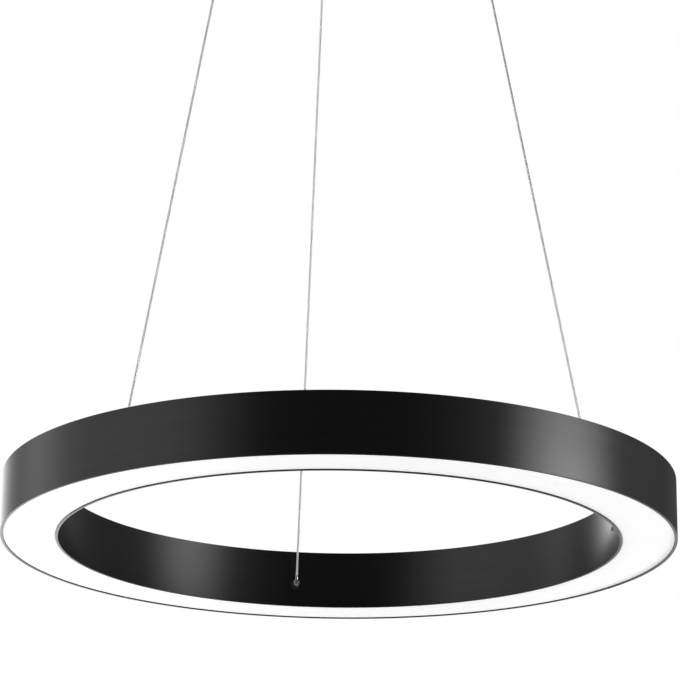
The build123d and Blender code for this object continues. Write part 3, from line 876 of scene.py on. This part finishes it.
@dataclass
class WireSuspension:
    """Three slanting wires with their anchors on the ring's inner wall."""

    ring: RingLamp
    azimuths: Triple = (99.7, 217.2, 338.4)
    gripper_radius: float = 113.5 * MM
    top: float = -74.0 * MM
    anchor_height: float = 24.0 * MM
    standoff: float = 11.0 * MM
    ball: float = 4.2 * MM
    ferrule: float = 2.0 * MM
    ferrule_ends: Span = (3.5 * MM, 9.0 * MM)  # from the ball's middle
    ferrule_mouth: float = 1.84 * MM
    ferrule_root: float = 1.33 * MM  # radius inside its lower end
    waist: float = 0.12 * MM  # how far the ferrule is drawn in
    hole: float = 1.3 * MM
    hole_bottom: float = 3.2 * MM  # from the ball's middle
    foot: float = 3.3 * MM  # of the wire, from the ball's middle
    stalk: float = 3.0 * MM
    collar: float = 4.4 * MM
    collar_hole: float = 1.8 * MM
    collar_thickness: float = 1.0 * MM
    collar_edge: float = 0.15 * MM
    wire: float = 1.25 * MM  # radius
    strands: int = 6
    lay: float = 13.0 * MM

    def anchor(self, azimuth: float) -> Array:
        """Middle of the ball at that azimuth."""
        return polar(self.ring.inner - self.standoff, azimuth, self.ring.low + self.anchor_height)

    def head(self, azimuth: float) -> Array:
        """Point where the wire goes into its gripper."""
        return polar(self.gripper_radius, azimuth, self.top)

    def upward(self, azimuth: float) -> Array:
        """Unit vector up the wire at that azimuth."""
        return unit(self.head(azimuth) - self.anchor(azimuth))

    def line(self, azimuth: float) -> Array:
        """Points of the wire's middle line, read from a smooth spline through its two ends.

        Args:
            azimuth: Azimuth of the wire.

        Returns:
            Points from the gripper down to the anchor, one row each.
        """
        head = self.head(azimuth)
        foot = self.anchor(azimuth) + self.foot * self.upward(azimuth)
        route = [head, (head + foot) / 2, foot]
        curve = bpy.data.curves.new("wire_route", "CURVE")
        curve.dimensions = "3D"
        spline = curve.splines.new("NURBS")
        spline.points.add(len(route) - 1)
        for knot, place in zip(spline.points, route):
            knot.co = (*place, 1.0)
        spline.order_u = 3
        spline.use_endpoint_u = True
        holder = bpy.data.objects.new(curve.name, curve)
        mesh = bpy.data.meshes.new_from_object(holder)
        points = np.empty(3 * len(mesh.vertices))
        mesh.vertices.foreach_get("co", points)
        bpy.data.objects.remove(holder)
        bpy.data.curves.remove(curve)
        bpy.data.meshes.remove(mesh)
        return points.reshape(-1, 3)

    def rope(self, start: Array, end: Array) -> list[Grid]:
        """Strands wound about one straight stretch, touching each other and the wire's outside.

        Args:
            start: First end of the stretch.
            end: Its second end.

        Returns:
            One grid for each strand.
        """
        share = math.sin(math.pi / self.strands)
        thickness = self.wire * share / (1 + share)
        strand = Winding(self.wire - thickness, thickness, self.lay, per_turn=14, sides=7)
        return [strand.grid(start, end, phase) for phase in full_turn(self.strands)]

    def hang(self, number: int, azimuth: float) -> None:
        """One wire and the stretch of it inside its gripper.

        Args:
            number: Number of the wire.
            azimuth: Azimuth of the wire.
        """
        path = self.line(azimuth)
        wire = add_piece(f"steel_wire_{number}", self.rope(path[0], path[-1]), STEEL,
                         f"wire_{number}")
        tail_end = polar(self.gripper_radius, azimuth, heights("wire_tails")[1])
        tail = add_piece(f"wire_tail_{number}", self.rope(path[0], tail_end), STEEL,
                         "wire_tails")
        reach = float(path[0][2] - path[-1][2])
        (reach - travel("height")) / reach
        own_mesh(wire)

    def ball_profile(self) -> Array:
        """Ball with a hole for the wire's foot: an arc up to the ferrule, then straight lines into the hole.

        Returns:
            Rows of radius and height along the wire.
        """
        upper = math.degrees(math.acos(self.ferrule / self.ball))
        ball = arc(self.ball, -90.0, upper, steps=28)
        inside = [[self.hole, ball[-1, 1]], [self.hole, self.hole_bottom], [0.0, self.hole_bottom]]
        return np.concatenate([ball, inside])

    def ferrule_profile(self) -> Array:
        """Short tube: a drawn-in curve outside, and a mouth that widens so the wire can lean.

        Returns:
            Rows of radius and height along the wire.
        """
        low, high = self.ferrule_ends
        pull = np.array([self.ferrule - 2 * self.waist, (low + high) / 2])
        t = np.linspace(0.0, 1.0, num=13)[:, None]
        outside = bend(np.array([self.ferrule, low]), pull, np.array([self.ferrule, high]), t)
        return np.concatenate([outside, [[self.ferrule_mouth, high], [self.ferrule_root, low]]])

    def anchors(self) -> None:
        """Dark balls on their stalks, bright ferrules on them, and collars between stalk and wall."""
        balls, ferrules, collars = [], [], []
        wall = self.standoff
        face = wall - self.collar_thickness
        stalk = np.array([[0.0, 0.0], [self.stalk, 0.0], [self.stalk, face], [0.0, face]])
        collar = washer(self.collar_hole, self.collar, face, wall, self.collar_edge)
        for azimuth in self.azimuths:
            middle = self.anchor(azimuth)
            upward, outward = self.upward(azimuth), polar(1.0, azimuth, 0.0)
            balls.append(turned(self.ball_profile(), middle, upward, segments=64, closed=Closed.AROUND))
            balls.append(turned(stalk, middle, outward, segments=48, closed=Closed.AROUND))
            ferrules.append(turned(self.ferrule_profile(), middle, upward, segments=64))
            collars.append(turned(collar, middle, outward, segments=48))
        body = Body.RING.value
        add_piece("anchor_balls", balls, SMOKED, "wire_anchors", body)
        add_piece("anchor_ferrules", ferrules, NICKEL, "wire_anchors", body)
        add_piece("anchor_collars", collars, NYLON, "anchor_bushes", body)

    def build(self) -> None:
        """Makes wires and anchors."""
        for number, azimuth in enumerate(self.azimuths, 1):
            self.hang(number, azimuth)
        self.anchors()


@dataclass
class WireGrippers:
    """Three push-release grippers under the canopy."""

    suspension: WireSuspension
    floor: float = heights("canopy_cover")[0]
    barrel: float = 6.5 * MM
    barrel_bevel: float = 0.8 * MM
    barrel_edge: float = 0.18 * MM
    roof: float = 2.5 * MM  # from the spring's chamber to the shoulder
    neck: float = 5.0 * MM
    flange: float = 9.0 * MM
    flange_thickness: float = 1.5 * MM
    flange_edge: float = 0.3 * MM
    nose: float = 3.15 * MM
    nose_bevel: float = 0.5 * MM
    nose_edge: float = 0.12 * MM
    nose_gap: float = 0.2 * MM  # between nose and barrel
    head_rim: float = 1.5 * MM  # of the plunger above its cone
    cone_length: float = 6.0 * MM
    hole: float = 1.4 * MM
    mouth: float = 2.4 * MM
    mouth_length: float = 2.5 * MM
    coil: Winding = Winding(reach=3.72 * MM, thickness=0.45 * MM, lay=2.3 * MM, per_turn=28, sides=10)

    def place(self, azimuth: float) -> Array:
        """Point on a gripper's axis at the ceiling."""
        return polar(self.suspension.gripper_radius, azimuth, 0.0)

    def on_each(self, profile: Array) -> list[Grid]:
        """Profile turned round the axis of each gripper."""
        places = map(self.place, self.suspension.azimuths)
        return [turned(profile, place, UP, segments=64) for place in places]

    def barrels(self) -> None:
        """Barrels with bevelled ends and the necks above them."""
        low, high = heights("gripper_bodies")
        shoulder = self.floor - self.flange_thickness
        chamber, chamber_top = self.nose + self.nose_gap, shoulder - self.roof
        outline = [
            (chamber, low), (self.barrel - self.barrel_bevel, low), (self.barrel, low + self.barrel_bevel),
            (self.barrel, shoulder), (self.neck, shoulder), (self.neck, high), (self.hole, high),
            (self.hole, chamber_top), (chamber, chamber_top),
        ]
        add_piece("gripper_barrels", self.on_each(rounded(outline, self.barrel_edge)), NICKEL,
                  "gripper_bodies")

    def collars(self) -> None:
        """Insulating flanges between barrel and canopy floor."""
        low = self.floor - self.flange_thickness
        flange = washer(self.neck, self.flange, low, self.floor, self.flange_edge)
        add_piece("gripper_collars", self.on_each(flange), NYLON, "gripper_bushes")

    def plunger(self, number: int, azimuth: float) -> None:
        """Push nose of one gripper with its cone, and the spring above it.

        Args:
            number: Number of the gripper.
            azimuth: Its azimuth.
        """
        node = f"plunger_{number}"
        low, high = heights(node)
        place = self.place(azimuth)
        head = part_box(node)[1][0] - place[0]
        cone_high = high - self.head_rim
        outline = [
            (self.mouth, low), (self.nose - self.nose_bevel, low), (self.nose, low + self.nose_bevel),
            (self.nose, cone_high - self.cone_length), (head, cone_high), (head, high), (self.hole, high),
            (self.hole, low + self.mouth_length),
        ]
        grid = turned(rounded(outline, self.nose_edge), place, UP, segments=56)
        add_piece(f"release_nose_{number}", [grid], NICKEL, node, body=node)
        bottom, top = heights(f"gripper_spring_{number}")
        rest = self.coil.thickness
        grid = self.coil.grid(place + (bottom + rest) * UP, place + (top - rest) * UP)
        coil = add_piece(f"grip_coil_{number}", [grid], SPRING, f"gripper_spring_{number}")
        joint = f"plunger_{number}_push"
        tuple(place + top * UP)
        (top - bottom - travel(joint)) / (top - bottom)
        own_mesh(coil)

    def build(self) -> None:
        """Makes barrels, collars, plungers and springs, and dresses the nuts."""
        self.barrels()
        self.collars()
        dress({"gripper_nuts": NYLON})
        for number, azimuth in enumerate(self.suspension.azimuths, 1):
            self.plunger(number, azimuth)


@dataclass
class CeilingCanopy:
    """Round cup at the ceiling with its thumb screws, bracket and driver."""

    radius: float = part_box("canopy_cover")[1][0]
    low: float = heights("canopy_cover")[0]
    high: float = heights("canopy_cover")[1]
    wall: float = 1.5 * MM
    bevel: float = 3.0 * MM
    bevel_angle: float = 45.0
    edge: float = 0.4 * MM
    screw_azimuths: Span = (0.0, 180.0)
    screw_drop: float = 14.0 * MM
    screw_head: float = 4.5 * MM
    screw_length: float = 4.0 * MM
    screw_foot: Span = (0.9, 0.0)  # places on the head, as shares of its radius and its length
    screw_rim: Span = (0.12, 0.86)  # share of the length at the rim's two ends
    screw_top: tuple[Span, ...] = ((0.9, 1.0), (0.85, 1.0), (0.0, 0.96))
    knurls: int = 32
    knurl_points: int = 8  # round the head, for each knurl
    knurl_depth: float = 0.18 * MM
    shank: float = 2.0 * MM
    shank_length: float = 7.0 * MM

    def cover(self) -> None:
        """Thin-walled cup with a bevelled lower edge, turned round the lamp's axis.

        The outline starts and ends beyond the axis. What lies there gives way to two points on the axis.
        """
        inside, flat = self.radius - self.wall, self.radius - self.bevel
        lean = self.wall * math.tan(math.radians(self.bevel_angle / 2))
        floor = self.low + self.wall
        outline = [
            (-self.bevel, self.low), (flat, self.low), (self.radius, self.low + self.bevel),
            (self.radius, self.high), (inside, self.high), (inside, self.low + self.bevel + lean),
            (flat - lean, floor), (-self.bevel, floor),
        ]
        shell = rounded(outline, self.edge)
        shell = shell[shell[:, 0] > 0.0]
        profile = np.concatenate([[[0.0, self.low]], shell, [[0.0, floor]]])
        cup = turned(profile, ORIGIN, UP, segments=480, closed=Closed.AROUND)
        add_piece("canopy_cup", [cup], PAINT, "canopy_cover")

    def thumb_screws(self) -> None:
        """Knurled heads: the rim's radius waves with the angle, head - depth (1 - cos(knurls angle)) / 2."""
        turn = full_turn(self.knurl_points * self.knurls)
        wave = self.knurl_depth * (1 - np.cos(self.knurls * turn)) / 2
        rim = [(1.0, level) for level in self.screw_rim]
        size = np.array([self.screw_head, self.screw_length])
        head = size * np.array([self.screw_foot, *rim, *self.screw_top])
        shank = np.array([[0.0, -self.shank_length], [self.shank, -self.shank_length], [self.shank, 0.0]])
        radii, levels = np.concatenate([shank, head]).T
        radii = radii[:, None] - np.where(radii[:, None] == self.screw_head, wave, 0.0)
        grids = [lathe(radii, levels, polar(self.radius, azimuth, -self.screw_drop), polar(1.0, azimuth, 0.0))
                 for azimuth in self.screw_azimuths]
        add_piece("canopy_thumb_screws", grids, DARK_STEEL, "canopy_screws")

    def build(self) -> None:
        """Makes cover and thumb screws, and dresses bracket and driver."""
        self.cover()
        self.thumb_screws()
        dress({"ceiling_bracket": ZINC, "driver_screws": ZINC, "earth_screw": BRASS})
        dress(dict.fromkeys(("driver_case", "driver_lid", "terminal_block"), PLASTIC))
        dress({"driver_board": MASK_GREEN, "driver_transformer": TAPE})


# Studio


def stage_light(name: str, grid: Grid, look: Material) -> None:
    """Puts up a surface of light that the camera doesn't see and that throws no shadow.

    Args:
        name: Name of the surface.
        grid: Its points.
        look: Its material.
    """
    surface = make_piece(name, [grid], look)
    surface.visible_camera = False
    surface.visible_shadow = False


@dataclass(frozen=True)
class LightPanel:
    """Upright panel of light that faces the lamp's axis and is brightest in its middle."""

    name: str
    distance: float  # from the lamp's axis
    azimuth: float
    width: float
    soft: float  # on either side of the width's ends, where the light fades
    low: float
    top: float
    light: float
    clear: bool = False  # lets the light behind it through
    fade: float = 0.1  # above and below the top

    def build(self) -> None:
        """Flat grid, whose light falls off with the distance from its middle line and near its top."""
        recipe = new_recipe(self.name)
        x, y, z = recipe.place()
        middle = polar(self.distance, self.azimuth, 0.0)
        across = np.cross(middle, UP) / self.distance
        offset = (x - float(middle[0])) * float(across[0]) + (y - float(middle[1])) * float(across[1])
        half = self.width / 2
        share = offset.size().eased(half + self.soft, half - self.soft)
        share = share * z.eased(self.top + self.fade, self.top - self.fade)
        shader = recipe.light(share * self.light)
        if self.clear:
            through = recipe.node("BsdfTransparent")
            shader = recipe.node("AddShader", inputs={0: through.outputs[0], 1: shader.outputs[0]})
        side = np.linspace(-half - self.soft, half + self.soft, num=9)[:, None, None]
        height = np.linspace(self.low, self.top + self.fade, num=5)[None, :, None]
        stage_light(self.name, Grid(middle + side * across + height * UP, Closed.NONE), recipe.ending(shader))


@dataclass(frozen=True)
class LightTent:
    """Dome of light round the lamp: bright on the left, brightest behind on the left, dimmer elsewhere.

    The angle round the lamp is 0 towards the camera, 90 on the right and -90 on the left. The light is front
    at angle 0 and changes by steps: the angles where each begins and ends and the light that it adds.
    """

    radius: float = 2.6
    middle: float = -0.93  # height of the dome's centre
    lowest: float = -34.0  # elevation of the dome's edge, seen from its centre
    front: float = 0.16
    steps: tuple[Triple, ...] = (
        (-20.0, -58.0, 1.36), (-72.0, -88.0, -0.25), (-96.0, -106.0, 0.36), (-112.0, -130.0, -1.1466),
        (-136.0, -166.0, 2.45), (-168.0, -178.0, -1.8), (18.0, 60.0, 0.48), (96.0, 136.0, -0.48),
        (120.0, 180.0, -0.08),
    )
    low: Span = (-0.06, -0.43)  # heights from the middle
    low_steps: tuple[Triple, ...] = ((136.0, 150.0, 0.9), (168.0, 177.0, -0.9))  # added in the low part
    low_loss: float = 0.3
    behind: Span = (166.0, 177.0)  # angles to either side
    behind_loss: float = 0.6  # of the low part
    roof: Span = (1.4, 2.4)  # heights from the middle
    roof_loss: float = 0.5

    def build(self) -> None:
        """Part of a sphere, with sums of eased steps round the lamp that its low part and its roof dim."""
        recipe = new_recipe("light_tent")
        x, y, z = recipe.place()
        angle = x.angle_to(0.0 - y)
        height = z - self.middle
        light = sum((angle.eased(start, end) * change for start, end, change in self.steps), self.front)
        added = sum((angle.eased(start, end) * change for start, end, change in self.low_steps), 0.0)
        low = height.eased(*self.low)
        dimmed = low * (angle.size().eased(*self.behind) * self.behind_loss + self.low_loss)
        roof = 1.0 - height.eased(*self.roof) * self.roof_loss
        shader = recipe.light(light * (1.0 - dimmed) * roof + low * added)
        profile = arc(self.radius, self.lowest, 90.0, steps=44)
        grid = turned(profile, self.middle * UP, UP, segments=96, closed=Closed.AROUND)
        stage_light("light_tent", grid, recipe.ending(shader))


@dataclass
class Studio:
    """Camera, floor, light tent, panels and world."""

    camera_place: Triple = (-0.0009, -3.1582, -1.7463)
    pitch: float = 17.7255
    roll: float = 0.593
    focal_pixels: float = 3128.94
    sensor: float = 36.0  # millimetres
    floor_level: float = -2.4
    floor_reach: float = 4.4
    floor_fade: Span = (0.9, 3.4)  # radii between which it turns white
    floor_white: float = 0.4  # share of plain white at the middle
    floor_dark: Colour = (0.8036, 0.8036, 0.7938)
    floor_pale: Colour = (0.82, 0.82, 0.81)
    speck: float = 30.0  # waves in a metre
    ambient: float = 0.5
    tent: LightTent = LightTent()
    panels: tuple[LightPanel, ...] = (
        LightPanel("softbox", distance=1.634, azimuth=-18.2, width=0.78, soft=0.40, low=-0.95, top=-0.62,
                   light=22.5),
        LightPanel("fill_panel", distance=0.60, azimuth=70.0, width=0.50, soft=0.12, low=-0.95, top=-0.55,
                   light=0.14, clear=True),
    )

    def camera(self) -> None:
        """Camera at the photograph's place, looking up at the ring."""
        data = bpy.data.cameras.new("photo_camera")
        data.sensor_width = self.sensor
        data.lens = self.focal_pixels * self.sensor / IMAGE_SIDE
        camera = bpy.data.objects.new("photo_camera", data)
        camera.location = self.camera_place
        camera.rotation_mode = "ZXY"
        camera.rotation_euler = (math.radians(90.0 + self.pitch), 0.0, math.radians(self.roll))
        bpy.context.scene.collection.objects.link(camera)
        bpy.context.scene.camera = camera

    def floor(self) -> None:
        """Pale round floor that takes the lamp's shadow, turns white far off and is clear from below."""
        recipe = new_recipe("pale_floor")
        x, y, _ = recipe.place()
        speck = recipe.noise(recipe.spot(), self.speck)
        tone = recipe.blend(speck, self.floor_dark, self.floor_pale)
        matt = recipe.node("BsdfDiffuse", inputs={"Color": tone})
        white = recipe.light(1.0)
        far = x.hypot(y).eased(*self.floor_fade)
        share = recipe.seen() * (far * (1.0 - self.floor_white) + self.floor_white)
        lit = recipe.node("MixShader", inputs={0: share, 1: matt.outputs[0], 2: white.outputs[0]})
        clear = recipe.node("BsdfTransparent")
        below = recipe.node("NewGeometry").outputs["Backfacing"]
        mix = recipe.node("MixShader", inputs={0: below, 1: lit.outputs[0], 2: clear.outputs[0]})
        profile = np.array([[radius, 0.0] for radius in (0.0, *self.floor_fade, self.floor_reach)])
        grid = turned(profile, self.floor_level * UP, UP, segments=96, closed=Closed.AROUND)
        floor = make_piece("pale_floor", [grid], recipe.ending(mix))
        if floor.data.polygons[0].normal.z < 0:
            floor.data.flip_normals()

    def world(self) -> None:
        """White to the camera and in reflections, a plain grey for the rest."""
        world = bpy.data.worlds.new("studio")
        bpy.context.scene.world = world
        recipe = Recipe(world)
        strength = recipe.seen() * (1.0 - self.ambient) + self.ambient
        light = recipe.node("Background", inputs={"Color": WHITE, "Strength": strength})
        recipe.node("OutputWorld", inputs={"Surface": light.outputs[0]})

    def build(self) -> None:
        """Makes camera, floor, tent, panels and world."""
        bpy.context.scene.view_settings.view_transform = "Standard"
        self.camera()
        self.floor()
        self.tent.build()
        for panel in self.panels:
            panel.build()
        self.world()


def main() -> None:
    """Builds the lamp's pieces in order, then the studio."""
    logging.basicConfig(level=logging.INFO, format="%(name)s: %(message)s")
    ring = RingLamp()
    suspension = WireSuspension(ring)
    for part in (ring, suspension, WireGrippers(suspension), CeilingCanopy(), Studio()):
        part.build()


if __name__ == "__main__":
    main()
